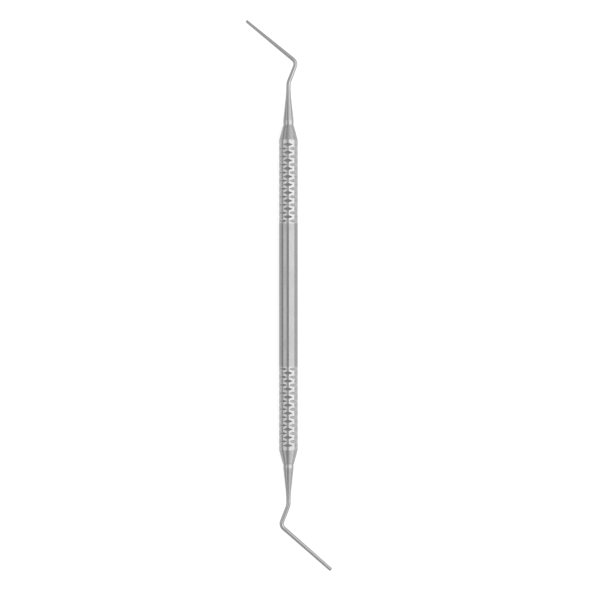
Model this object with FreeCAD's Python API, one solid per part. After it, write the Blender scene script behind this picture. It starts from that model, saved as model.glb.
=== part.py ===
# Double-ended root canal plugger, millimetres.
# A ten-sided steel grip bar with two bent working ends seated in bores in its ends.
# The bar's length runs along Y, with the small working end at +Y.
# The instrument lies on a table on one blunted corner of the bar, with both rods clear
# of the table, +Z up and the table at Z = 0. X and Y are centred on the whole instrument.
import FreeCAD, Part
import math
import os
from dataclasses import dataclass

Vector = FreeCAD.Vector

# Grip bar: ten flats with blunted corners between them
FLAT_COUNT = 10
ACROSS_FLATS = 5.90
ACROSS_CORNERS = 5.96
BAR_LENGTH = 108.0
# turn of the first corner away from the square to the plane of the bends
CORNER_CLOCKING = -4.0

# Cones turned on both ends of the bar
CONE_END_DIAMETER = 3.60
CONE_HALF_ANGLE = 15.0

# Grips: notches milled across the corners in two bands, one near each end of the bar
NOTCH_DEPTH = 0.38
NOTCH_FLOOR = 0.08
NOTCH_WALL_ANGLE = 41.0
NOTCH_PITCH = 2.57
NOTCH_COUNT = 10
# distance of the first notch of a band from the middle of the bar
GRIP_START = 23.66

# Seat of each working end: a tang in a blind bore
TANG_DIAMETER = 2.0
TANG_LENGTH = 10.0
TANG_CLEARANCE = 0.01
TANG_CHAMFER = 0.3
BORE_SPARE_DEPTH = 0.5
BORE_POINT_ANGLE = 118.0

# How far a notch's cutter reaches past the notch on each side, as a share of its half width
NOTCH_CUTTER_REACH = 1.2


@dataclass(frozen=True)
class WorkingEnd:
    """Sizes of one working end, from its shoulder on the bar outwards."""

    collar_diameter: float
    collar_length: float
    # shank: a straight cone that runs out into the neck through a large fillet
    taper_half_angle: float
    taper_fillet: float
    neck_diameter: float
    # first bend: distance of its corner from the shoulder, turn and centreline radius
    first_corner: float
    first_bend_angle: float
    first_bend_radius: float
    # second bend: distance between the two corners, turn back and centreline radius
    corner_spacing: float
    second_bend_angle: float
    second_bend_radius: float
    # plugger rod: diameter at the second bend, length from that bend's corner, flat tip
    rod_diameter: float
    rod_length: float
    tip_diameter: float
    tip_chamfer: float


SMALL_END = WorkingEnd(
    collar_diameter=3.28,
    collar_length=2.1,
    taper_half_angle=6.2,
    taper_fillet=40.0,
    neck_diameter=1.42,
    first_corner=13.8,
    first_bend_angle=21.4,
    first_bend_radius=5.0,
    corner_spacing=7.15,
    second_bend_angle=72.0,
    second_bend_radius=2.0,
    rod_diameter=1.32,
    rod_length=20.85,
    tip_diameter=0.94,
    tip_chamfer=0.06,
)

LARGE_END = WorkingEnd(
    collar_diameter=3.28,
    collar_length=1.6,
    taper_half_angle=6.2,
    taper_fillet=36.0,
    neck_diameter=1.45,
    first_corner=13.3,
    first_bend_angle=21.4,
    first_bend_radius=5.0,
    corner_spacing=6.95,
    second_bend_angle=70.2,
    second_bend_radius=2.0,
    rod_diameter=1.42,
    rod_length=21.55,
    tip_diameter=1.20,
    tip_chamfer=0.08,
)

# Values that follow from the sizes above
FLAT_STEP = 360.0 / FLAT_COUNT
SHARP_CORNER = ACROSS_FLATS / 2.0 / math.cos(math.radians(FLAT_STEP / 2.0))
BLUNT_CORNER = ACROSS_CORNERS / 2.0
BORE_RADIUS = TANG_DIAMETER / 2.0 + TANG_CLEARANCE
BORE_DEPTH = TANG_LENGTH + BORE_SPARE_DEPTH


def around_bar(angle, radius, along=0.0):
    """Point at an angle about the bar, measured from +Z towards +X."""
    turn = math.radians(angle)
    return Vector(radius * math.sin(turn), along, radius * math.cos(turn))


def revolve_about_y(profile):
    """Solid of revolution about Y of a closed profile of (radius, along) wires."""
    face = Part.Face(profile)
    return face.revolve(Vector(0, 0, 0), Vector(0, 1, 0), 360.0)


def polygon_wire(points):
    """Closed wire of straight edges through (radius, along) points."""
    corners = [Vector(radius, along, 0) for radius, along in points]
    return Part.makePolygon(corners + corners[:1])


# Grip bar

def half_width_at(distance):
    """Half the width of the sharp-cornered bar at a distance from its axis, below a corner."""
    return (SHARP_CORNER - distance) / math.tan(math.radians(FLAT_STEP / 2.0))


def corner_angles():
    """Angle about the bar of each corner."""
    return [CORNER_CLOCKING + FLAT_STEP * index for index in range(FLAT_COUNT)]


def section_points(along):
    """Points of the bar's section: two at each blunted corner."""
    half_width = half_width_at(BLUNT_CORNER)
    spread = math.degrees(math.atan2(half_width, BLUNT_CORNER))
    radius = math.hypot(half_width, BLUNT_CORNER)
    return [
        around_bar(angle + side * spread, radius, along)
        for angle in corner_angles()
        for side in (-1.0, 1.0)
    ]


def flatted_bar():
    """Ten-sided bar with plain sawn ends."""
    outline = section_points(-BAR_LENGTH / 2.0)
    section = Part.Face(Part.makePolygon(outline + outline[:1]))
    return section.extrude(Vector(0, BAR_LENGTH, 0))


def turned_envelope():
    """What turning leaves of the bar: a cone and a blind bore with a drill point at each end."""
    end = BAR_LENGTH / 2.0
    cone_end = CONE_END_DIAMETER / 2.0
    # any radius well outside the bar ends the cone
    outside = ACROSS_CORNERS
    cone_length = (outside - cone_end) / math.tan(math.radians(CONE_HALF_ANGLE))
    point_length = BORE_RADIUS / math.tan(math.radians(BORE_POINT_ANGLE / 2.0))
    half = [
        (0.0, end - BORE_DEPTH - point_length),
        (BORE_RADIUS, end - BORE_DEPTH),
        (BORE_RADIUS, end),
        (cone_end, end),
        (outside, end - cone_length),
    ]
    mirrored = [(radius, -along) for radius, along in reversed(half)]
    return revolve_about_y(polygon_wire(half + mirrored))


def notch_cutter(angle, along):
    """Cutter for one notch: a narrow floor square to the corner and two sloping walls."""
    floor = BLUNT_CORNER - NOTCH_DEPTH
    top = SHARP_CORNER + NOTCH_DEPTH
    spread = (top - floor) / math.tan(math.radians(NOTCH_WALL_ANGLE))
    across = NOTCH_CUTTER_REACH * half_width_at(floor)
    half_floor = NOTCH_FLOOR / 2.0
    outline = [
        Vector(-across, along - half_floor, floor),
        Vector(-across, along + half_floor, floor),
        Vector(-across, along + half_floor + spread, top),
        Vector(-across, along - half_floor - spread, top),
    ]
    cutter = Part.Face(Part.makePolygon(outline + outline[:1])).extrude(Vector(2.0 * across, 0, 0))
    cutter.rotate(Vector(0, 0, 0), Vector(0, 1, 0), angle)
    return cutter


def grip_cutters(angles, start):
    """Cutters of both bands for the given corners."""
    return [
        notch_cutter(angle, side * (start + NOTCH_PITCH * row))
        for angle in angles
        for row in range(NOTCH_COUNT)
        for side in (-1.0, 1.0)
    ]


def make_handle():
    """Grip bar: neighbouring corners are notched half a pitch apart."""
    corners = corner_angles()
    bar = flatted_bar().common(turned_envelope())
    bar = bar.cut(grip_cutters(corners[1::2], GRIP_START))
    return bar.cut(grip_cutters(corners[0::2], GRIP_START + NOTCH_PITCH / 2.0))


# Working ends

class Stem:
    """Rod built piece by piece from the origin along Y, in the plane Z = 0."""

    def __init__(self):
        self.position = Vector(0, 0, 0)
        # heading is measured from +Y, positive towards +X
        self.heading = 0.0
        self.pieces = []

    def direction(self):
        """Unit vector that the rod's end points along."""
        turn = math.radians(self.heading)
        return Vector(math.sin(turn), math.cos(turn), 0)

    def add(self, shape_about_y, length):
        """Place a shape drawn along Y at the rod's end, and move the end on by its length."""
        shape = shape_about_y.copy()
        shape.rotate(Vector(0, 0, 0), Vector(0, 0, 1), -self.heading)
        shape.translate(self.position)
        self.pieces.append(shape)
        self.position = self.position + self.direction() * length

    def straight(self, length, start_diameter, end_diameter):
        """Add a straight length that may taper."""
        outline = [
            (0.0, 0.0),
            (start_diameter / 2.0, 0.0),
            (end_diameter / 2.0, length),
            (0.0, length),
        ]
        self.add(revolve_about_y(polygon_wire(outline)), length)

    def bend(self, turn, radius, diameter):
        """Add an arc of round section; a positive turn leans towards +X."""
        side = math.copysign(1.0, turn)
        across = Vector(self.direction().y, -self.direction().x, 0) * side
        centre = self.position + across * radius
        circle = Part.Circle(self.position, self.direction(), diameter / 2.0)
        disc = Part.Face(Part.Wire(circle.toShape()))
        self.pieces.append(disc.revolve(centre, Vector(0, 0, -side), abs(turn)))
        swing = FreeCAD.Rotation(Vector(0, 0, -side), abs(turn))
        self.position = centre + swing.multVec(self.position - centre)
        self.heading += turn

    def solid(self):
        """All pieces as one solid."""
        return self.pieces[0].fuse(self.pieces[1:]).removeSplitter()


def tangent_length(radius, turn):
    """Length of straight that an arc takes up on each side of its corner."""
    return radius * math.tan(math.radians(abs(turn)) / 2.0)


def shank(end, length):
    """Tang, collar, tapered shank and neck, turned as one; the shoulder is at Y = 0."""
    tang = TANG_DIAMETER / 2.0
    collar = end.collar_diameter / 2.0
    neck = end.neck_diameter / 2.0
    taper = math.radians(end.taper_half_angle)
    run_out = end.collar_length + (collar - neck) / math.tan(taper)
    tangent = tangent_length(end.taper_fillet, end.taper_half_angle)
    fillet_start = Vector(neck + tangent * math.sin(taper), run_out - tangent * math.cos(taper), 0)
    fillet_end = Vector(neck, run_out + tangent, 0)
    sag = end.taper_fillet * (1.0 / math.cos(taper / 2.0) - 1.0)
    towards_axis = Vector(math.cos(taper / 2.0), math.sin(taper / 2.0), 0)
    fillet_middle = Vector(neck, run_out, 0) + towards_axis * sag
    turned = [
        Vector(neck, length, 0),
        Vector(0, length, 0),
        Vector(0, -TANG_LENGTH, 0),
        Vector(tang - TANG_CHAMFER, -TANG_LENGTH, 0),
        Vector(tang, TANG_CHAMFER - TANG_LENGTH, 0),
        Vector(tang, 0, 0),
        Vector(collar, 0, 0),
        Vector(collar, end.collar_length, 0),
        fillet_start,
    ]
    edges = [Part.LineSegment(a, b).toShape() for a, b in zip(turned, turned[1:])]
    edges.append(Part.Arc(fillet_start, fillet_middle, fillet_end).toShape())
    edges.append(Part.LineSegment(fillet_end, turned[0]).toShape())
    return revolve_about_y(Part.Wire(edges))


def plugger_rod(end, length):
    """Tapered rod with a flat, chamfered tip, from Y = 0."""
    tip = end.tip_diameter / 2.0
    outline = [
        (0.0, 0.0),
        (end.rod_diameter / 2.0, 0.0),
        (tip, length - end.tip_chamfer),
        (tip - end.tip_chamfer, length),
        (0.0, length),
    ]
    return revolve_about_y(polygon_wire(outline))


def make_working_end(end):
    """One working end with its shoulder at Y = 0."""
    first_tangent = tangent_length(end.first_bend_radius, end.first_bend_angle)
    second_tangent = tangent_length(end.second_bend_radius, end.second_bend_angle)
    shank_length = end.first_corner - first_tangent
    middle_length = end.corner_spacing - first_tangent - second_tangent
    rod_length = end.rod_length - second_tangent
    stem = Stem()
    stem.add(shank(end, shank_length), shank_length)
    stem.bend(end.first_bend_angle, end.first_bend_radius, end.neck_diameter)
    stem.straight(middle_length, end.neck_diameter, end.rod_diameter)
    stem.bend(-end.second_bend_angle, end.second_bend_radius, end.rod_diameter)
    stem.add(plugger_rod(end, rod_length), rod_length)
    return stem.solid()


# Rest

def roll_to_rest():
    """Turn about the bar's length that sets its lowest corner square on the table."""
    return min((180.0 - angle for angle in corner_angles()), key=abs)


def main():
    """Build the three pieces, lay them at rest and write them."""
    handle = make_handle()
    small = make_working_end(SMALL_END)
    large = make_working_end(LARGE_END)
    shoulder = BAR_LENGTH / 2.0
    small.translate(Vector(0, shoulder, 0))
    large.translate(Vector(0, shoulder, 0))
    large.rotate(Vector(0, 0, 0), Vector(0, 0, 1), 180.0)
    pieces = {"handle": handle, "small_working_end": small, "large_working_end": large}

    for shape in pieces.values():
        shape.rotate(Vector(0, 0, 0), Vector(0, 1, 0), roll_to_rest())
    box = Part.Compound(list(pieces.values())).optimalBoundingBox(False, False)
    os.makedirs("parts", exist_ok=True)
    for name, shape in pieces.items():
        shape.translate(Vector(-box.Center.x, -box.Center.y, -box.ZMin))
        shape.exportStep("parts/" + name + ".step")
        print(name, "solids", len(shape.Solids), "valid", shape.isValid(), "volume", round(shape.Volume, 3))
    print("box", round(box.XLength, 3), round(box.YLength, 3), round(box.ZLength, 3))
    print("bar middle", round(-box.Center.x, 4), round(-box.Center.y, 4), round(-box.ZMin, 4))


main()
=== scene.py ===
"""Looks of a double-ended root canal plugger.

A notched ten-sided grip bar carries a bent plugger rod in each end. The pieces are made in
millimetres in the bar's own frame, with the bar along Y, and are then laid where the frame
has them: on one blunted corner of the bar, with the plane of the bends turned a little.
"""
import logging
import math
import sys
from dataclasses import dataclass, field
from enum import Enum

import bpy
from mathutils import Matrix, Vector


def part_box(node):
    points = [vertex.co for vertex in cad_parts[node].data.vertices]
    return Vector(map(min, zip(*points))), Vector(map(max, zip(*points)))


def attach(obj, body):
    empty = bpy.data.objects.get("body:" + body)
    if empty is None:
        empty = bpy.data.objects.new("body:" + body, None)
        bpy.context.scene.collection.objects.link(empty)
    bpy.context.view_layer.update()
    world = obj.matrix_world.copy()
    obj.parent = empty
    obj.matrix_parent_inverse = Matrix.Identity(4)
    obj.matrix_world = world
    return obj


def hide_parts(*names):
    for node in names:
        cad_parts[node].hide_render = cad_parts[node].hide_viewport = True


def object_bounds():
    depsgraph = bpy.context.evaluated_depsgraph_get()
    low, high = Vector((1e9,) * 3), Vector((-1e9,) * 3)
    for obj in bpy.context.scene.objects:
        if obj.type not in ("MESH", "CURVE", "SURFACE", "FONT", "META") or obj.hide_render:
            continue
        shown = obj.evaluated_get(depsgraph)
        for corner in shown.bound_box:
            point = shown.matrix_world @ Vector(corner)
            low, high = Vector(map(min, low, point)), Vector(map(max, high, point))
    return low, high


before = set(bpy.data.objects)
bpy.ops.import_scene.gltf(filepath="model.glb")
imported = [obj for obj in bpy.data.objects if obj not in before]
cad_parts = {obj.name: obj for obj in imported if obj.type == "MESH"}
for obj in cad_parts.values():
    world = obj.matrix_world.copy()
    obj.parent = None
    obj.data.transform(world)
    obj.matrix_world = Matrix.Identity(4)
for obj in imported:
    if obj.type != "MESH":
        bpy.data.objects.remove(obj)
CAD_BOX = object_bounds()

log = logging.getLogger("plugger")

MM = 0.001
BODY = "root"
HANDLE_NODE = "handle"
SMALL_NODE = "small_working_end"
LARGE_NODE = "large_working_end"

# turn of the plane of the bends about the bar, from level, as the instrument lies
BEND_PLANE_TURN = math.radians(4.0)

# power of a rectangular lamp for a brightness of 1 over a square metre of it
WATTS_PER_RADIANCE = math.pi

# places of the two colours to mix, and of the mixed one, on a Mix node
MIX_FIRST = 6
MIX_SECOND = 7
MIX_RESULT = 2

# an output socket of a node, the same or a plain number, and all of a node's output sockets
Output = bpy.types.NodeSocket
Number = Output | float
Outputs = bpy.types.NodeOutputs


# Node trees

class TreeBuilder:
    """Adds nodes to a tree and joins them."""

    def __init__(self, tree: bpy.types.NodeTree) -> None:
        """Keep the tree.

        Args:
            tree: the tree that the nodes go into.
        """
        self.tree = tree

    def add(self, kind: str, inputs: dict | None = None, **settings: object) -> bpy.types.Node:
        """Add a node.

        Args:
            kind: the node's type name.
            inputs: what each input socket gets, by name or number: a value or an output socket.
            settings: properties of the node, such as its operation.

        Returns:
            The node.
        """
        node = self.tree.nodes.new(kind)
        for name, value in settings.items():
            setattr(node, name, value)
        for key, value in (inputs or {}).items():
            self.feed(node.inputs[key], value)
        return node

    def feed(self, socket: bpy.types.NodeSocket, value: object) -> None:
        """Join an output socket to an input socket, or set the input to a plain value.

        Args:
            socket: the input socket.
            value: the output socket or the plain value.
        """
        if isinstance(value, bpy.types.NodeSocket):
            self.tree.links.new(value, socket)
        else:
            socket.default_value = value

    def math(self, operation: str, *values: Number) -> Output:
        """Add a Math node.

        Args:
            operation: the node's operation.
            values: its inputs in order, as numbers or sockets.

        Returns:
            Its result socket.
        """
        kind = "ShaderNodeMath"
        return self.add(kind, dict(enumerate(values)), operation=operation).outputs[0]

    def vector(self, x: Number, y: Number, z: Number) -> Output:
        """Return the socket of a vector with the given parts."""
        return self.add("ShaderNodeCombineXYZ", {0: x, 1: y, 2: z}).outputs[0]

    def parts(self, vector: Output) -> Outputs:
        """Return the sockets of a vector's three parts."""
        return self.add("ShaderNodeSeparateXYZ", {0: vector}).outputs

    def sum_of(self, *terms: tuple) -> Output:
        """Add up two shares.

        Args:
            terms: two pairs of a socket and its share.

        Returns:
            The socket of their sum.
        """
        first, second = (self.math("MULTIPLY", socket, share) for socket, share in terms)
        return self.math("ADD", first, second)


class Socket(Enum):
    """Kinds of socket on a tree's interface."""

    WHOLE = "NodeSocketInt"
    NUMBER = "NodeSocketFloat"
    VECTOR = "NodeSocketVector"
    COLOUR = "NodeSocketColor"
    GEOMETRY = "NodeSocketGeometry"
    FINISH = "NodeSocketMaterial"


def open_tree(name: str, kind: str, inputs: dict, outputs: dict) -> tuple:
    """Make a node tree with named inputs and outputs.

    Args:
        name: the tree's name.
        kind: the tree's type name.
        inputs: the kind of each input socket, by name.
        outputs: the kind of each output socket, by name.

    Returns:
        The tree's builder, its group input node and its group output node.
    """
    tree = bpy.data.node_groups.new(name, kind)
    for side, sockets in (("INPUT", inputs), ("OUTPUT", outputs)):
        for label, socket in sockets.items():
            tree.interface.new_socket(label, in_out=side, socket_type=socket.value)
    builder = TreeBuilder(tree)
    return builder, builder.add("NodeGroupInput"), builder.add("NodeGroupOutput")


def grow(mesh: bpy.types.Mesh, tree: bpy.types.NodeTree, values: dict) -> bpy.types.Mesh:
    """Run a geometry tree on a mesh and return the result as a plain mesh.

    Args:
        mesh: what the tree starts from.
        tree: the geometry tree.
        values: what each input of the tree gets, by name.

    Returns:
        The plain mesh.
    """
    carrier = bpy.data.objects.new("carrier", mesh)
    bpy.context.scene.collection.objects.link(carrier)
    modifier = carrier.modifiers.new("tree", "NODES")
    modifier.node_group = tree
    for item in tree.interface.items_tree:
        if item.item_type == "SOCKET" and item.in_out == "INPUT" and item.name in values:
            modifier[item.identifier] = values[item.name]
    return settle(carrier)


def settle(carrier: bpy.types.Object) -> bpy.types.Mesh:
    """Turn an object with its modifiers into a plain mesh, and remove the object.

    Args:
        carrier: the object.

    Returns:
        The plain mesh.
    """
    graph = bpy.context.evaluated_depsgraph_get()
    plain = bpy.data.meshes.new_from_object(carrier.evaluated_get(graph), depsgraph=graph)
    bpy.data.objects.remove(carrier)
    return plain


# Finishes

class Lay(Enum):
    """Which way the fine marks of the last machining run."""

    ALONG_BAR = "along the bar"
    AROUND_BAR = "around the bar"
    ALONG_ROD = "along the bent rod"


def fine_marks_group() -> bpy.types.NodeTree:
    """Node group of fine marks: noise drawn out by a stretch of the given place.

    Returns:
        The group. It puts out the marks' height and a slower drift in tone, both 0 to 1.
    """
    inputs = {"Place": Socket.VECTOR, "Stretch": Socket.VECTOR, "Drift Scale": Socket.NUMBER}
    outputs = {"Height": Socket.NUMBER, "Drift": Socket.NUMBER}
    made, given, result = open_tree("fine_marks", "ShaderNodeTree", inputs, outputs)
    drawn = made.add(
        "ShaderNodeVectorMath",
        {0: given.outputs["Place"], 1: given.outputs["Stretch"]},
        operation="MULTIPLY",
    )
    fine = made.add(
        "ShaderNodeTexNoise",
        {"Vector": drawn.outputs[0], "Scale": 1.0, "Detail": 4.0, "Roughness": 0.65},
    )
    slow = made.add(
        "ShaderNodeTexNoise",
        {
            "Vector": given.outputs["Place"],
            "Scale": given.outputs["Drift Scale"],
            "Detail": 3.0,
            "Roughness": 0.55,
        },
    )
    made.feed(result.inputs["Height"], fine.outputs[0])
    made.feed(result.inputs["Drift"], slow.outputs[0])
    return made.tree


def handling_group() -> bpy.types.NodeTree:
    """Node group of light handling: soft smudges and a few fine scratches.

    Returns:
        The group. It puts out a smudge mask and a scratch mask, both 0 to 1.
    """
    inputs = {"Place": Socket.VECTOR, "Smudge Scale": Socket.NUMBER, "Scratch Scale": Socket.NUMBER}
    outputs = {"Smudge": Socket.NUMBER, "Scratch": Socket.NUMBER}
    made, given, result = open_tree("handling", "ShaderNodeTree", inputs, outputs)
    cloud = made.add(
        "ShaderNodeTexNoise",
        {"Vector": given.outputs["Place"], "Scale": given.outputs["Smudge Scale"], "Detail": 5.0},
    )
    smudge = made.add(
        "ShaderNodeMapRange",
        {"Value": cloud.outputs[0], "From Min": 0.42, "From Max": 0.66},
    )
    hair = made.add(
        "ShaderNodeTexVoronoi",
        {"Vector": given.outputs["Place"], "Scale": given.outputs["Scratch Scale"]},
        feature="DISTANCE_TO_EDGE",
    )
    scratch = made.add(
        "ShaderNodeMapRange",
        {"Value": hair.outputs[0], "From Min": 0.0, "From Max": 0.02, "To Min": 1.0, "To Max": 0.0},
    )
    made.feed(result.inputs["Smudge"], smudge.outputs[0])
    made.feed(result.inputs["Scratch"], scratch.outputs[0])
    return made.tree


@dataclass(frozen=True)
class SteelFinish:
    """A satin stainless steel finish.

    Marks and smudges are counted to the millimetre. The lay says which way the marks run.
    """

    name: str
    lay: Lay
    dark_tone: float
    light_tone: float
    smooth: float
    rough: float
    marks_across: float
    marks_along: float
    mark_height: float
    # the plain middle of the bar is duller than its grips: half its length, its share of their
    # tone and half the width of the change
    dull_half_length: float = 0.0
    dull_share: float = 1.0
    dull_edge: float = 0.2
    drift_scale: float = 0.35
    smudge_scale: float = 0.22
    scratch_scale: float = 0.5
    # how far the marks and the slow drift set the tone, and the smudges and the marks the gloss
    tone_shares: tuple = (0.6, 0.4)
    gloss_shares: tuple = (0.7, 0.3)
    scratch_depth: float = 0.5
    # light steel is a touch bluer
    blue_lift: float = 1.01

    def place(self, made: TreeBuilder, middle: Vector) -> Output:
        """Find the place that the marks are drawn on.

        Args:
            made: the builder of the material's tree.
            middle: middle of the bar, in metres.

        Returns:
            The socket of the place, in millimetres.
        """
        if self.lay is Lay.ALONG_ROD:
            turn, along, _ = made.parts(made.add("ShaderNodeUVMap", uv_map=BentRod.UV_NAME).outputs[0])
            return made.vector(made.math("COSINE", turn), along, made.math("SINE", turn))
        at = made.add("ShaderNodeTexCoord").outputs["Object"]
        centred = made.add("ShaderNodeVectorMath", {0: at, 1: middle}, operation="SUBTRACT")
        return self.scaled(made, centred.outputs[0], 1.0 / MM)

    @staticmethod
    def scaled(made: TreeBuilder, vector: Output, share: Number) -> Output:
        """Return the socket of a vector or colour times a number."""
        return made.add("ShaderNodeVectorMath", {0: vector, "Scale": share}, operation="SCALE").outputs[0]

    def stretch(self) -> tuple:
        """Say how the marks are drawn out.

        Returns:
            The marks to the millimetre along each axis of the place.
        """
        if self.lay is Lay.AROUND_BAR:
            return (self.marks_along, self.marks_across, self.marks_along)
        return (self.marks_across, self.marks_along, self.marks_across)

    def duller_middle(self, made: TreeBuilder, place: Output, colour: Output) -> Output:
        """Dull the colour on the plain middle of the bar.

        Args:
            made: the builder of the material's tree.
            place: socket of the place, in millimetres.
            colour: socket of the colour.

        Returns:
            The socket of the dulled colour.
        """
        band = made.add(
            "ShaderNodeMapRange",
            {
                "Value": made.math("ABSOLUTE", made.parts(place)[1]),
                "From Min": self.dull_half_length - self.dull_edge,
                "From Max": self.dull_half_length + self.dull_edge,
                "To Min": self.dull_share,
                "To Max": 1.0,
            },
        )
        return self.scaled(made, colour, band.outputs[0])

    def material(self, middle: Vector) -> bpy.types.Material:
        """Build the material.

        Args:
            middle: middle of the bar, in metres.

        Returns:
            The material, with the shared groups in it.
        """
        material = bpy.data.materials.new(self.name)
        material.use_nodes = True
        made = TreeBuilder(material.node_tree)
        shader = material.node_tree.nodes["Principled BSDF"]
        place = self.place(made, middle)
        marks = made.add("ShaderNodeGroup", node_tree=GROUPS["fine_marks"])
        made.feed(marks.inputs["Place"], place)
        made.feed(marks.inputs["Stretch"], self.stretch())
        made.feed(marks.inputs["Drift Scale"], self.drift_scale)
        handling = made.add("ShaderNodeGroup", node_tree=GROUPS["handling"])
        made.feed(handling.inputs["Place"], place)
        made.feed(handling.inputs["Smudge Scale"], self.smudge_scale)
        made.feed(handling.inputs["Scratch Scale"], self.scratch_scale)
        mark, drift = marks.outputs["Height"], marks.outputs["Drift"]
        smudge, scratch = handling.outputs["Smudge"], handling.outputs["Scratch"]
        mark_tone, drift_tone = self.tone_shares
        colour = made.add(
            "ShaderNodeMix",
            {
                0: made.sum_of((mark, mark_tone), (drift, drift_tone)),
                MIX_FIRST: (self.dark_tone, self.dark_tone, self.dark_tone, 1.0),
                MIX_SECOND: (self.light_tone, self.light_tone, self.light_tone * self.blue_lift, 1.0),
            },
            data_type="RGBA",
        )
        smudge_gloss, mark_gloss = self.gloss_shares
        worn = made.sum_of((smudge, smudge_gloss), (mark, mark_gloss))
        roughness = made.add(
            "ShaderNodeMapRange",
            {"Value": worn, "To Min": self.smooth, "To Max": self.rough},
        )
        height = made.math("SUBTRACT", mark, made.math("MULTIPLY", scratch, self.scratch_depth))
        bump = made.add(
            "ShaderNodeBump",
            {"Height": height, "Distance": self.mark_height * MM, "Strength": 1.0},
        )
        shown = colour.outputs[MIX_RESULT]
        if self.dull_half_length:
            shown = self.duller_middle(made, place, shown)
        made.feed(shader.inputs["Base Color"], shown)
        made.feed(shader.inputs["Roughness"], roughness.outputs[0])
        made.feed(shader.inputs["Normal"], bump.outputs[0])
        shader.inputs["Metallic"].default_value = 1.0
        return material


# the node groups that every finish shares, by name
GROUPS: dict[str, bpy.types.NodeTree] = {}

MILLED_FLATS = SteelFinish(
    name="milled_flats", lay=Lay.ALONG_BAR, dark_tone=0.46, light_tone=0.54,
    smooth=0.24, rough=0.32, marks_across=9.0, marks_along=0.25, mark_height=0.0012,
    dull_half_length=22.9, dull_share=0.75,
)
TURNED_CONES = SteelFinish(
    name="turned_cones", lay=Lay.AROUND_BAR, dark_tone=0.39, light_tone=0.46,
    smooth=0.22, rough=0.30, marks_across=7.0, marks_along=0.3, mark_height=0.0012,
)
POLISHED_RODS = SteelFinish(
    name="polished_rods", lay=Lay.ALONG_ROD, dark_tone=0.39, light_tone=0.47,
    smooth=0.18, rough=0.27, marks_across=6.0, marks_along=0.5, mark_height=0.0008,
)


# Grip bar

# corners closer than this are one, in millimetres
MERGE_DISTANCE = 0.001


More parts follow.
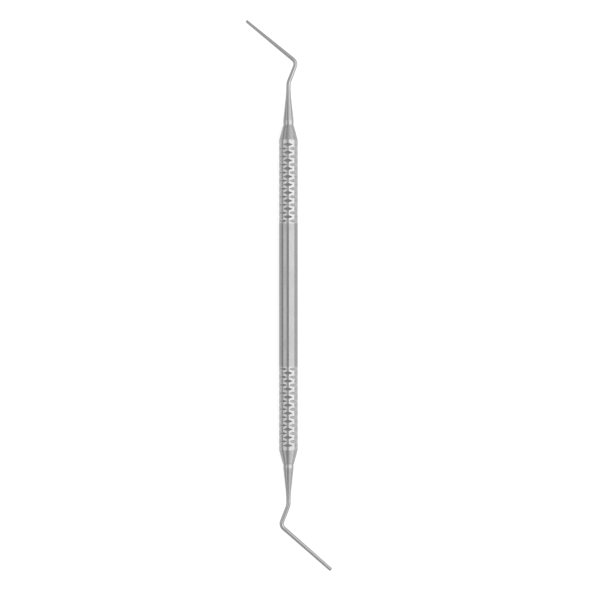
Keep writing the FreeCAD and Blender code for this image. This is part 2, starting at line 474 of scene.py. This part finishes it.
@dataclass
class GripBar:
    """Ten-sided bar with two notched bands and turned cones, in millimetres."""

    flat_count: int = 10
    across_flats: float = 5.90
    across_corners: float = 5.96
    length: float = 108.0
    cone_end_diameter: float = 3.60
    cone_half_angle: float = 15.0
    notch_depth: float = 0.38
    notch_floor: float = 0.08
    notch_wall_angle: float = 41.0
    notch_pitch: float = 2.57
    notch_count: int = 10
    grip_start: float = 23.66
    bore_diameter: float = 2.02
    bore_depth: float = 10.5
    turned_segments: int = 160
    edge_round: float = 0.03
    edge_segments: int = 2
    # edges that turn by less than this stay as they are, as on the turned cones
    edge_angle: float = 10.0

    INPUTS = {
        "Flat Count": Socket.WHOLE,
        "Flat Radius": Socket.NUMBER,
        "Corner Radius": Socket.NUMBER,
        "Bar Length": Socket.NUMBER,
        "Cone End Radius": Socket.NUMBER,
        "Cone Angle": Socket.NUMBER,
        "Notch Depth": Socket.NUMBER,
        "Notch Floor": Socket.NUMBER,
        "Notch Wall Angle": Socket.NUMBER,
        "Notch Pitch": Socket.NUMBER,
        "Notch Count": Socket.WHOLE,
        "Grip Start": Socket.NUMBER,
        "Bore Radius": Socket.NUMBER,
        "Bore Depth": Socket.NUMBER,
        "Turned Segments": Socket.WHOLE,
        "Finish": Socket.FINISH,
        "Turned Finish": Socket.FINISH,
    }

    def tree(self) -> bpy.types.NodeTree:
        """Build the geometry tree of the bar.

        Returns:
            The tree: a flatted bar, cut by cones, notches and bores.
        """
        outputs = {"Geometry": Socket.GEOMETRY}
        made, given, result = open_tree("grip_bar", "GeometryNodeTree", self.INPUTS, outputs)
        size = given.outputs
        half_step = made.math("DIVIDE", math.pi, size["Flat Count"])
        sharp = made.math("DIVIDE", size["Flat Radius"], made.math("COSINE", half_step))
        bar = self.flatted_bar(made, size, half_step, sharp)
        bar = self.with_cones(made, size, bar)
        for phase in (0, 1):
            cutters = self.notch_cutters(made, size, half_step, sharp, phase)
            bar = self.cut(made, bar, cutters)
        bar = self.cut(made, bar, self.bores(made, size))
        whole = made.add("GeometryNodeRealizeInstances", {0: bar})
        milled = made.add("GeometryNodeSetMaterial", {0: whole.outputs[0], "Material": size["Finish"]})
        turned = made.add(
            "GeometryNodeSetMaterial",
            {
                0: milled.outputs[0],
                "Selection": self.turned_faces(made, size),
                "Material": size["Turned Finish"],
            },
        )
        made.feed(result.inputs[0], turned.outputs[0])
        return made.tree

    @staticmethod
    def turned_faces(made: TreeBuilder, size: Outputs) -> Output:
        """Pick the faces of the cones and of the bar's ends.

        Args:
            made: the tree's builder.
            size: the tree's inputs.

        Returns:
            The socket of the selection.
        """
        reach = made.math(
            "DIVIDE",
            made.math("SUBTRACT", size["Corner Radius"], size["Cone End Radius"]),
            made.math("TANGENT", size["Cone Angle"]),
        )
        # a tenth more than the cones' reach, which still stops short of the last notch
        start = made.math("MULTIPLY_ADD", size["Bar Length"], 0.5, made.math("MULTIPLY", reach, -1.1))
        at = made.parts(made.add("GeometryNodeInputPosition").outputs[0])
        facing = made.parts(made.add("GeometryNodeInputNormal").outputs[0])
        outer = made.math("GREATER_THAN", made.math("ABSOLUTE", at[1]), start)
        least = made.math("MULTIPLY", made.math("SINE", size["Cone Angle"]), 0.5)
        sloped = made.math("GREATER_THAN", made.math("ABSOLUTE", facing[1]), least)
        return made.math("MULTIPLY", outer, sloped)

    @staticmethod
    def cut(made: TreeBuilder, solid: Output, cutters: Output) -> Output:
        """Cut a solid.

        Args:
            made: the tree's builder.
            solid: socket of the solid.
            cutters: socket of its cutters.

        Returns:
            The socket of the solid less its cutters.
        """
        node = made.add("GeometryNodeMeshBoolean", operation="DIFFERENCE", solver="MANIFOLD")
        made.feed(node.inputs["Mesh 1"], solid)
        made.feed(node.inputs["Mesh 2"], cutters)
        return node.outputs["Mesh"]

    @staticmethod
    def flatted_bar(made: TreeBuilder, size: Outputs, half_step: Number, sharp: Number) -> Output:
        """Bar with flats and blunted corners.

        Args:
            made: the tree's builder.
            size: the tree's inputs.
            half_step: half the angle between corners.
            sharp: radius of the corners before they are blunted.

        Returns:
            The socket of the bar, with its ends plain.
        """
        index = made.add("GeometryNodeInputIndex").outputs[0]
        count = made.math("MULTIPLY", size["Flat Count"], 2)
        circle = made.add("GeometryNodeMeshCircle", {"Vertices": count}, fill_type="NGON")
        half_width = made.math(
            "DIVIDE",
            made.math("SUBTRACT", sharp, size["Corner Radius"]),
            made.math("TANGENT", half_step),
        )
        spread = made.math("ARCTAN2", half_width, size["Corner Radius"])
        radius = made.math("DIVIDE", size["Corner Radius"], made.math("COSINE", spread))
        corner = made.math("FLOOR", made.math("DIVIDE", index, 2))
        side = made.math("SUBTRACT", made.math("MULTIPLY", made.math("MODULO", index, 2), 2), 1)
        middle = made.math("MULTIPLY", corner, made.math("MULTIPLY", half_step, 2))
        angle = made.math("MULTIPLY_ADD", side, spread, middle)
        corners = made.vector(
            made.math("MULTIPLY", radius, made.math("SINE", angle)),
            made.math("MULTIPLY", size["Bar Length"], -0.5),
            made.math("MULTIPLY", radius, made.math("COSINE", angle)),
        )
        section = made.add(
            "GeometryNodeSetPosition", {"Geometry": circle.outputs[0], "Position": corners}
        )
        walls = made.add(
            "GeometryNodeExtrudeMesh",
            {
                "Mesh": section.outputs[0],
                "Offset": (0.0, 1.0, 0.0),
                "Offset Scale": size["Bar Length"],
                "Individual": False,
            },
            mode="FACES",
        )
        floor = made.add("GeometryNodeFlipFaces", {0: section.outputs[0]})
        closed = made.add("GeometryNodeJoinGeometry")
        made.feed(closed.inputs[0], walls.outputs[0])
        made.feed(closed.inputs[0], floor.outputs[0])
        joined = made.add(
            "GeometryNodeMergeByDistance", {0: closed.outputs[0], "Distance": MERGE_DISTANCE}
        )
        return joined.outputs[0]

    @staticmethod
    def with_cones(made: TreeBuilder, size: Outputs, bar: Output) -> Output:
        """Turn a cone on each end of the bar, by what two long cones share with it.

        Args:
            made: the tree's builder.
            size: the tree's inputs.
            bar: socket of the flatted bar.

        Returns:
            The socket of the bar with its cones.
        """
        rise = made.math("MULTIPLY", size["Bar Length"], made.math("TANGENT", size["Cone Angle"]))
        cone = made.add(
            "GeometryNodeMeshCone",
            {
                "Vertices": size["Turned Segments"],
                "Radius Top": size["Cone End Radius"],
                "Radius Bottom": made.math("ADD", size["Cone End Radius"], rise),
                "Depth": size["Bar Length"],
            },
        )
        shared = made.add("GeometryNodeMeshBoolean", operation="INTERSECT", solver="MANIFOLD")
        made.feed(shared.inputs["Mesh 2"], bar)
        for end in (-1.0, 1.0):
            wide_end = made.math("MULTIPLY", size["Bar Length"], -0.5 * end)
            placed = made.add(
                "GeometryNodeTransform",
                {
                    "Geometry": cone.outputs["Mesh"],
                    "Translation": made.vector(0.0, wide_end, 0.0),
                    "Rotation": (-end * math.pi / 2.0, 0.0, 0.0),
                },
            )
            made.feed(shared.inputs["Mesh 2"], placed.outputs[0])
        return shared.outputs["Mesh"]

    @staticmethod
    def notch_cutters(
        made: TreeBuilder, size: Outputs, half_step: Number, sharp: Number, phase: int
    ) -> Output:
        """Cutters of both bands for every other corner.

        Args:
            made: the tree's builder.
            size: the tree's inputs.
            half_step: half the angle between corners.
            sharp: radius of the corners before they are blunted.
            phase: 0 for the first corner's set, half a pitch out, and 1 for its neighbours'.

        Returns:
            The socket of the cutters as instances.
        """
        floor = made.math("SUBTRACT", size["Corner Radius"], size["Notch Depth"])
        top = made.math("ADD", sharp, size["Notch Depth"])
        height = made.math("SUBTRACT", top, floor)
        # a little wider than the notch, but clear of the next cutter of its set
        depth = made.math("SUBTRACT", sharp, floor)
        half_width = made.math("DIVIDE", depth, made.math("TANGENT", half_step))
        reach = made.math("MULTIPLY", half_width, 2.1)
        block_size = made.vector(reach, size["Notch Floor"], height)
        block = made.add("GeometryNodeMeshCube", {"Size": block_size})
        spread = made.math("DIVIDE", height, made.math("TANGENT", size["Notch Wall Angle"]))
        flare = made.math("MULTIPLY_ADD", made.math("DIVIDE", spread, size["Notch Floor"]), 2.0, 1.0)
        at = made.parts(made.add("GeometryNodeInputPosition").outputs[0])
        upper = made.math("GREATER_THAN", at[2], 0.0)
        widen = made.math("MULTIPLY_ADD", upper, made.math("SUBTRACT", flare, 1.0), 1.0)
        raised = made.math("MULTIPLY_ADD", made.math("ADD", floor, top), 0.5, at[2])
        place = made.vector(at[0], made.math("MULTIPLY", at[1], widen), raised)
        cutter = made.add("GeometryNodeSetPosition", {"Geometry": block.outputs[0], "Position": place})

        index = made.add("GeometryNodeInputIndex").outputs[0]
        corner = made.math("MODULO", index, size["Flat Count"])
        row = made.math("FLOOR", made.math("DIVIDE", index, size["Flat Count"]))
        band_row = made.math("MODULO", row, size["Notch Count"])
        band = made.math("FLOOR", made.math("DIVIDE", row, size["Notch Count"]))
        side = made.math("SUBTRACT", made.math("MULTIPLY", band, 2), 1)
        steps = made.math("ADD", band_row, 0.5 * (1 - phase))
        from_middle = made.math("MULTIPLY_ADD", steps, size["Notch Pitch"], size["Grip Start"])
        notch_place = made.vector(0.0, made.math("MULTIPLY", side, from_middle), 0.0)
        total = made.math("MULTIPLY", made.math("MULTIPLY", size["Flat Count"], size["Notch Count"]), 2)
        points = made.add("GeometryNodePoints", {"Count": total, "Position": notch_place})
        odd = made.math("MODULO", corner, 2)
        angle = made.math("MULTIPLY", made.math("MULTIPLY", half_step, 2), corner)
        placed = made.add(
            "GeometryNodeInstanceOnPoints",
            {
                "Points": points.outputs[0],
                "Selection": made.math("COMPARE", odd, phase, 0.5),
                "Instance": cutter.outputs[0],
                "Rotation": made.vector(0.0, angle, 0.0),
            },
        )
        return made.add("GeometryNodeRealizeInstances", {0: placed.outputs[0]}).outputs[0]

    @staticmethod
    def bores(made: TreeBuilder, size: Outputs) -> Output:
        """Cutters of both blind bores.

        Args:
            made: the tree's builder.
            size: the tree's inputs.

        Returns:
            The socket of the cutters.
        """
        drill = made.add(
            "GeometryNodeMeshCylinder",
            {
                "Vertices": size["Turned Segments"],
                "Radius": size["Bore Radius"],
                "Depth": made.math("MULTIPLY", size["Bore Depth"], 2.0),
            },
        )
        both = made.add("GeometryNodeJoinGeometry")
        for end in (-0.5, 0.5):
            end_face = made.math("MULTIPLY", size["Bar Length"], end)
            placed = made.add(
                "GeometryNodeTransform",
                {
                    "Geometry": drill.outputs["Mesh"],
                    "Translation": made.vector(0.0, end_face, 0.0),
                    "Rotation": (math.pi / 2.0, 0.0, 0.0),
                },
            )
            made.feed(both.inputs[0], placed.outputs[0])
        return both.outputs[0]

    def mesh(self, finish: bpy.types.Material, turned: bpy.types.Material) -> bpy.types.Mesh:
        """Make the bar's mesh, in millimetres about its middle.

        Args:
            finish: the material of the flats and notches.
            turned: the material of the cones and ends.

        Returns:
            The mesh, with its edges broken.
        """
        values = {
            "Flat Count": self.flat_count,
            "Flat Radius": self.across_flats / 2.0,
            "Corner Radius": self.across_corners / 2.0,
            "Bar Length": self.length,
            "Cone End Radius": self.cone_end_diameter / 2.0,
            "Cone Angle": math.radians(self.cone_half_angle),
            "Notch Depth": self.notch_depth,
            "Notch Floor": self.notch_floor,
            "Notch Wall Angle": math.radians(self.notch_wall_angle),
            "Notch Pitch": self.notch_pitch,
            "Notch Count": self.notch_count,
            "Grip Start": self.grip_start,
            "Bore Radius": self.bore_diameter / 2.0,
            "Bore Depth": self.bore_depth,
            "Turned Segments": self.turned_segments,
            "Finish": finish,
            "Turned Finish": turned,
        }
        mesh = grow(bpy.data.meshes.new("bar_start"), self.tree(), values)
        return break_edges(mesh, self.edge_round, self.edge_segments, self.edge_angle)


def break_edges(mesh: bpy.types.Mesh, width: float, segments: int, angle: float) -> bpy.types.Mesh:
    """Round a mesh's edges a little and shade it smooth between them.

    Args:
        mesh: the mesh, in millimetres.
        width: width of the rounding.
        segments: faces across the rounding.
        angle: edges that turn by less than this, in degrees, stay as they are.

    Returns:
        The finished mesh.
    """
    mesh.shade_smooth()
    carrier = bpy.data.objects.new("carrier", mesh)
    bpy.context.scene.collection.objects.link(carrier)
    bevel = carrier.modifiers.new("broken_edges", "BEVEL")
    bevel.width = width
    bevel.segments = segments
    bevel.limit_method = "ANGLE"
    bevel.angle_limit = math.radians(angle)
    bevel.use_clamp_overlap = False
    weighted = carrier.modifiers.new("flat_normals", "WEIGHTED_NORMAL")
    weighted.mode = "FACE_AREA"
    weighted.weight = 100
    return settle(carrier)


# Working ends

@dataclass
class BentRod:
    """Sizes of one working end in millimetres, from its shoulder on the bar outwards."""

    UV_NAME = "UVMap"
    RADIUS_NAME = "rod_radius"

    collar_length: float
    taper_fillet: float
    neck_diameter: float
    first_corner: float
    corner_spacing: float
    second_turn: float
    rod_diameter: float
    rod_length: float
    tip_diameter: float
    tip_chamfer: float
    tang_diameter: float = 2.0
    tang_length: float = 10.0
    tang_chamfer: float = 0.3
    collar_diameter: float = 3.28
    taper_half_angle: float = 6.2
    first_turn: float = 21.4
    first_radius: float = 5.0
    second_radius: float = 2.0
    edge_round: float = 0.06
    ring_segments: int = 48
    station_step: float = 0.25
    arc_steps: int = 14
    # the tang ends this much before the shoulder, because two stations can't share a place
    shoulder_step: float = 0.001
    # share of the collar's rounding at its middle station
    round_share: float = 0.3
    # edges that turn by more than this, in degrees, stay crisp
    crisp_angle: float = 35.0

    def turned_profile(self) -> list:
        """Outline of tang, collar, tapered shank and neck.

        Returns:
            (distance from the shoulder, radius) pairs up to the end of the taper's fillet.
        """
        tang = self.tang_diameter / 2.0
        collar = self.collar_diameter / 2.0
        neck = self.neck_diameter / 2.0
        taper = math.radians(self.taper_half_angle)
        run_out = self.collar_length + (collar - neck) / math.tan(taper)
        tangent = self.taper_fillet * math.tan(taper / 2.0)
        start = run_out - tangent * math.cos(taper)
        edge = self.edge_round
        profile = [
            (-self.tang_length, tang - self.tang_chamfer),
            (self.tang_chamfer - self.tang_length, tang),
            (-self.shoulder_step, tang),
            (0.0, collar - edge),
            (edge * self.round_share, collar - edge * self.round_share),
            (edge, collar),
            (self.collar_length, collar),
        ]
        profile += self.evenly((self.collar_length, collar), (start, neck + tangent * math.sin(taper)))
        centre_along = run_out + tangent
        centre_radius = neck + self.taper_fillet
        for step in range(1, self.arc_steps + 1):
            turn = taper * (1.0 - step / self.arc_steps)
            along = centre_along - self.taper_fillet * math.sin(turn)
            profile.append((along, centre_radius - self.taper_fillet * math.cos(turn)))
        return profile

    def evenly(self, start: tuple, end: tuple) -> list:
        """Fill in pairs at about one station step from each other.

        Args:
            start: the pair before the first.
            end: the last pair.

        Returns:
            The pairs.
        """
        count = max(1, round((end[0] - start[0]) / self.station_step))
        return [
            tuple(a + (b - a) * step / count for a, b in zip(start, end))
            for step in range(1, count + 1)
        ]

    def stations(self) -> list:
        """Places and radii along the whole rod, in the plane Z = 0.

        Returns:
            (x, y, radius) triples, with the rod leaving the shoulder along Y.
        """
        first_tangent = self.first_radius * math.tan(math.radians(self.first_turn) / 2.0)
        second_tangent = self.second_radius * math.tan(math.radians(self.second_turn) / 2.0)
        neck = self.neck_diameter / 2.0
        rod = self.rod_diameter / 2.0
        tip = self.tip_diameter / 2.0
        turned = self.turned_profile()
        straight = self.first_corner - first_tangent
        turned += self.evenly((turned[-1][0], neck), (straight, neck))
        found = [(0.0, along, radius) for along, radius in turned]
        path = PlanePath(0.0, straight, 0.0)
        found += path.arc(self.first_turn, self.first_radius, neck, self.arc_steps)
        middle = self.corner_spacing - first_tangent - second_tangent
        found += path.run(self.evenly((0.0, neck), (middle, rod)))
        found += path.arc(-self.second_turn, self.second_radius, rod, 2 * self.arc_steps)
        length = self.rod_length - second_tangent
        end = [(length, tip - self.tip_chamfer)]
        found += path.run(self.evenly((0.0, rod), (length - self.tip_chamfer, tip)) + end)
        return found

    def tree(self) -> bpy.types.NodeTree:
        """Build the geometry tree that sweeps a ring along a path of given radii.

        Returns:
            The tree.
        """
        inputs = {"Geometry": Socket.GEOMETRY, "Ring Segments": Socket.WHOLE, "Finish": Socket.FINISH}
        outputs = {"Geometry": Socket.GEOMETRY}
        made, given, result = open_tree("bent_rod", "GeometryNodeTree", inputs, outputs)
        path = made.add("GeometryNodeMeshToCurve", {0: given.outputs["Geometry"]})
        radius = made.add(
            "GeometryNodeInputNamedAttribute", {"Name": self.RADIUS_NAME}, data_type="FLOAT"
        )
        ring = made.add(
            "GeometryNodeCurvePrimitiveCircle",
            {"Resolution": given.outputs["Ring Segments"], "Radius": 1.0},
        )
        along = self.captured(made, path.outputs[0], "Length")
        around = self.captured(made, ring.outputs[0], "Factor")
        swept = made.add(
            "GeometryNodeCurveToMesh",
            {
                "Curve": along[0],
                "Profile Curve": around[0],
                "Scale": radius.outputs["Attribute"],
                "Fill Caps": True,
            },
        )
        turn = made.math("MULTIPLY", around[1], 2.0 * math.pi)
        unrolled = made.vector(turn, along[1], 0.0)
        marked = made.add(
            "GeometryNodeStoreNamedAttribute",
            {"Geometry": swept.outputs[0], "Name": self.UV_NAME, "Value": unrolled},
            data_type="FLOAT2",
            domain="CORNER",
        )
        whole = made.add("GeometryNodeRealizeInstances", {0: marked.outputs[0]})
        finished = made.add(
            "GeometryNodeSetMaterial", {0: whole.outputs[0], "Material": given.outputs["Finish"]}
        )
        made.feed(result.inputs[0], finished.outputs[0])
        return made.tree

    @staticmethod
    def captured(made: TreeBuilder, curve: Output, measure: str) -> tuple:
        """Note a measure of a curve on its points.

        Args:
            made: the tree's builder.
            curve: socket of the curve.
            measure: name of the spline parameter.

        Returns:
            The sockets of the curve and of the noted value.
        """
        node = made.add("GeometryNodeCaptureAttribute", {"Geometry": curve})
        node.capture_items.new("FLOAT", measure)
        spline = made.add("GeometryNodeSplineParameter")
        made.feed(node.inputs[1], spline.outputs[measure])
        return node.outputs[0], node.outputs[1]

    def mesh(self, finish: bpy.types.Material) -> bpy.types.Mesh:
        """Make the working end's mesh, in millimetres about its shoulder.

        Args:
            finish: the material of the whole piece.

        Returns:
            The mesh.
        """
        stations = self.stations()
        line = bpy.data.meshes.new("rod_path")
        places = [(x, y, 0.0) for x, y, _ in stations]
        line.from_pydata(places, [(i, i + 1) for i in range(len(places) - 1)], [])
        radii = line.attributes.new(self.RADIUS_NAME, "FLOAT", "POINT")
        radii.data.foreach_set("value", [radius for _, _, radius in stations])
        values = {"Ring Segments": self.ring_segments, "Finish": finish}
        mesh = grow(line, self.tree(), values)
        mesh.shade_smooth()
        mesh.set_sharp_from_angle(angle=math.radians(self.crisp_angle))
        return mesh


class PlanePath:
    """A point that moves in the plane Z = 0 and notes where it has been."""

    def __init__(self, x: float, y: float, heading: float) -> None:
        """Start the path.

        Args:
            x: first place across.
            y: first place along.
            heading: direction in degrees from +Y, positive towards +X.
        """
        self.place = Vector((x, y))
        self.heading = heading

    def direction(self) -> Vector:
        """Return the unit vector of the present heading."""
        turn = math.radians(self.heading)
        return Vector((math.sin(turn), math.cos(turn)))

    def run(self, pairs: list) -> list:
        """Go straight on.

        Args:
            pairs: (distance from here, radius) pairs; the path ends at the last.

        Returns:
            (x, y, radius) triples.
        """
        ahead = self.direction()
        found = [(*(self.place + ahead * distance), radius) for distance, radius in pairs]
        self.place = Vector(found[-1][:2])
        return found

    def arc(self, turn: float, bend: float, radius: float, steps: int) -> list:
        """Go round an arc.

        Args:
            turn: angle in degrees, positive towards +X of a heading along +Y.
            bend: radius of the arc.
            radius: radius of the rod on it.
            steps: number of stations.

        Returns:
            (x, y, radius) triples.
        """
        side = math.copysign(1.0, turn)
        ahead = self.direction()
        centre = self.place + Vector((ahead.y, -ahead.x)) * side * bend
        start = self.heading
        found = []
        for step in range(1, steps + 1):
            self.heading = start + turn * step / steps
            ahead = self.direction()
            self.place = centre - Vector((ahead.y, -ahead.x)) * side * bend
            found.append((*self.place, radius))
        return found


SMALL_ROD = BentRod(
    collar_length=2.1, taper_fillet=40.0, neck_diameter=1.42,
    first_corner=13.8, corner_spacing=7.15, second_turn=72.0,
    rod_diameter=1.32, rod_length=20.85, tip_diameter=0.94, tip_chamfer=0.06,
)
LARGE_ROD = BentRod(
    collar_length=1.6, taper_fillet=36.0, neck_diameter=1.45,
    first_corner=13.3, corner_spacing=6.95, second_turn=70.2,
    rod_diameter=1.42, rod_length=21.55, tip_diameter=1.20, tip_chamfer=0.08,
)


# The instrument

@dataclass
class Instrument:
    """The grip bar and its two working ends, laid where the frame has them."""

    bar: GripBar = field(default_factory=GripBar)
    small_rod: BentRod = field(default_factory=lambda: SMALL_ROD)
    large_rod: BentRod = field(default_factory=lambda: LARGE_ROD)

    def middle(self) -> Vector:
        """Return the middle of the bar in the frame, in metres."""
        low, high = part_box(HANDLE_NODE)
        return (low + high) / 2.0

    def lay(self, end: int) -> Matrix:
        """Find where a piece goes.

        Args:
            end: 0 for the bar, 1 for the working end at +Y and -1 for the one at -Y.

        Returns:
            The matrix from the piece's own millimetres to the frame's metres.
        """
        place = Matrix.Translation(self.middle())
        if end == 0:
            return place @ Matrix.Scale(MM, 4)
        half_turn = Matrix.Rotation(math.pi if end < 0 else 0.0, 4, "Z")
        shoulder = Matrix.Translation((0.0, self.bar.length / 2.0, 0.0))
        turned = Matrix.Rotation(BEND_PLANE_TURN, 4, "Y")
        return place @ turned @ half_turn @ Matrix.Scale(MM, 4) @ shoulder

    def stand(
        self, name: str, mesh: bpy.types.Mesh, end: int, node: str
    ) -> bpy.types.Object:
        """Put a finished mesh in the scene in place of a node of the frame.

        Args:
            name: the piece's name.
            mesh: its mesh, in its own millimetres.
            end: which end it belongs to, as for lay.
            node: the node that it stands for.

        Returns:
            The piece.
        """
        mesh.transform(self.lay(end))
        mesh.name = name
        piece = bpy.data.objects.new(name, mesh)
        bpy.context.scene.collection.objects.link(piece)
        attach(piece, BODY)
        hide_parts(node)
        log.info("%s: %d faces", name, len(mesh.polygons))
        return piece

    def build(self) -> list:
        """Make the three pieces.

        Returns:
            The pieces.
        """
        flats = MILLED_FLATS.material(self.middle())
        cones = TURNED_CONES.material(self.middle())
        rods = POLISHED_RODS.material(self.middle())
        return [
            self.stand("grip_bar", self.bar.mesh(flats, cones), 0, HANDLE_NODE),
            self.stand("small_plugger", self.small_rod.mesh(rods), 1, SMALL_NODE),
            self.stand("large_plugger", self.large_rod.mesh(rods), -1, LARGE_NODE),
        ]


# Studio

@dataclass(frozen=True)
class Softbox:
    """A rectangular lamp over the instrument, square to the bar.

    The azimuth is about the bar, in degrees from straight up towards +X. The length runs
    along the bar, and along is how far the lamp's middle is from the bar's towards +Y.
    """

    name: str
    azimuth: float
    distance: float
    width: float
    length: float
    along: float
    radiance: float

    def build(self, target: Vector) -> bpy.types.Object:
        """Make the lamp.

        Args:
            target: the place that it faces.

        Returns:
            The lamp's object.
        """
        turn = math.radians(self.azimuth)
        lamp = bpy.data.lights.new(self.name, "AREA")
        lamp.shape = "RECTANGLE"
        lamp.size = self.width
        lamp.size_y = self.length
        lamp.energy = self.radiance * self.width * self.length * WATTS_PER_RADIANCE
        placed = bpy.data.objects.new(self.name, lamp)
        out = Vector((math.sin(turn), 0.0, math.cos(turn))) * self.distance
        placed.location = target + out + Vector((0.0, self.along, 0.0))
        placed.rotation_euler = (0.0, turn, 0.0)
        placed.visible_camera = False
        bpy.context.scene.collection.objects.link(placed)
        return placed


@dataclass
class Studio:
    """Pale floor, soft lamps and the camera over the instrument."""

    floor_size: float = 8.0
    floor_tone: float = 0.5
    # what the floor adds to its lit tone: for the camera, which makes it white, and in reflections
    floor_white: float = 0.72
    floor_glow: float = 0.50
    world_tone: float = 0.48
    camera_distance: float = 1.2
    sensor: float = 36.0
    nearest: float = 0.01
    farthest: float = 20.0
    # width of what the picture shows, and where its centre is from the middle of the bar
    picture_width: float = 0.192
    centre_across: float = 0.00370
    centre_along: float = -0.00161
    softboxes: tuple = (
        Softbox(
            "key_softbox", azimuth=48.0, distance=0.70,
            width=1.02, length=1.50, along=-0.25, radiance=0.64,
        ),
        Softbox(
            "key_core", azimuth=48.0, distance=0.69,
            width=1.02, length=0.20, along=0.0, radiance=0.80,
        ),
        Softbox(
            "lower_softbox", azimuth=72.0, distance=0.71,
            width=0.30, length=0.50, along=-0.75, radiance=2.5,
        ),
        Softbox(
            "upper_softbox", azimuth=36.0, distance=0.71,
            width=1.55, length=0.90, along=0.55, radiance=0.27,
        ),
        Softbox(
            "fill_softbox", azimuth=-48.0, distance=0.70,
            width=0.30, length=1.50, along=-0.25, radiance=0.63,
        ),
        Softbox(
            "fill_core", azimuth=-36.0, distance=0.69,
            width=0.62, length=0.20, along=0.0, radiance=0.39,
        ),
    )

    def floor(self) -> bpy.types.Object:
        """Make the floor, at the height that the instrument lies on.

        Returns:
            The floor's object.
        """
        half = self.floor_size / 2.0
        level = CAD_BOX[0].z
        signs = ((-1, -1), (1, -1), (1, 1), (-1, 1))
        corners = [(half * across, half * along, level) for across, along in signs]
        mesh = bpy.data.meshes.new("floor")
        mesh.from_pydata(corners, [], [(0, 1, 2, 3)])
        mesh.materials.append(self.floor_material())
        floor = bpy.data.objects.new("floor", mesh)
        bpy.context.scene.collection.objects.link(floor)
        return floor

    def floor_material(self) -> bpy.types.Material:
        """Pale floor that shows as white and keeps a soft shadow.

        Returns:
            The material.
        """
        material = bpy.data.materials.new("pale_floor")
        material.use_nodes = True
        nodes = material.node_tree.nodes
        nodes.remove(nodes["Principled BSDF"])
        made = TreeBuilder(material.node_tree)
        tone = (self.floor_tone, self.floor_tone, self.floor_tone, 1.0)
        matt = made.add("ShaderNodeBsdfDiffuse", {"Color": tone})
        path = made.add("ShaderNodeLightPath")
        glossy, passing = path.outputs["Is Glossy Ray"], path.outputs["Is Transmission Ray"]
        mirrored = made.math("MAXIMUM", glossy, passing)
        shown = made.math("MULTIPLY", path.outputs["Is Camera Ray"], self.floor_white)
        strength = made.math("MULTIPLY_ADD", mirrored, self.floor_glow, shown)
        glow = made.add("ShaderNodeEmission", {"Color": (1.0, 1.0, 1.0, 1.0), "Strength": strength})
        both = made.add("ShaderNodeAddShader", {0: matt.outputs[0], 1: glow.outputs[0]})
        made.feed(nodes["Material Output"].inputs["Surface"], both.outputs[0])
        return material

    def world(self) -> None:
        """Set the plain grey surroundings."""
        world = bpy.data.worlds.new("surroundings")
        world.use_nodes = True
        background = world.node_tree.nodes["Background"]
        tone = (self.world_tone, self.world_tone, self.world_tone, 1.0)
        background.inputs["Color"].default_value = tone
        bpy.context.scene.world = world

    def camera(self, middle: Vector) -> bpy.types.Object:
        """Place the camera square to the plane of the bends.

        Args:
            middle: middle of the bar.

        Returns:
            The camera's object.
        """
        square = Matrix.Rotation(BEND_PLANE_TURN, 3, "Y")
        target = middle + square @ Vector((self.centre_across, self.centre_along, 0.0))
        data = bpy.data.cameras.new("camera")
        data.sensor_width = self.sensor
        data.lens = self.sensor * self.camera_distance / self.picture_width
        data.clip_start = self.nearest
        data.clip_end = self.farthest
        camera = bpy.data.objects.new("camera", data)
        camera.location = target + square @ Vector((0.0, 0.0, self.camera_distance))
        camera.rotation_euler = (0.0, BEND_PLANE_TURN, 0.0)
        bpy.context.scene.collection.objects.link(camera)
        bpy.context.scene.camera = camera
        return camera

    def build(self, middle: Vector) -> None:
        """Make floor, lamps, surroundings and camera.

        Args:
            middle: middle of the bar.
        """
        self.floor()
        self.world()
        for softbox in self.softboxes:
            softbox.build(middle)
        self.camera(middle)
        bpy.context.scene.view_settings.view_transform = "Standard"


def main() -> None:
    """Build the instrument and its studio."""
    logging.basicConfig(level=logging.INFO, format="%(name)s: %(message)s", stream=sys.stdout)
    GROUPS["fine_marks"] = fine_marks_group()
    GROUPS["handling"] = handling_group()
    instrument = Instrument()
    instrument.build()
    Studio().build(instrument.middle())


if __name__ == "__main__":
    main()
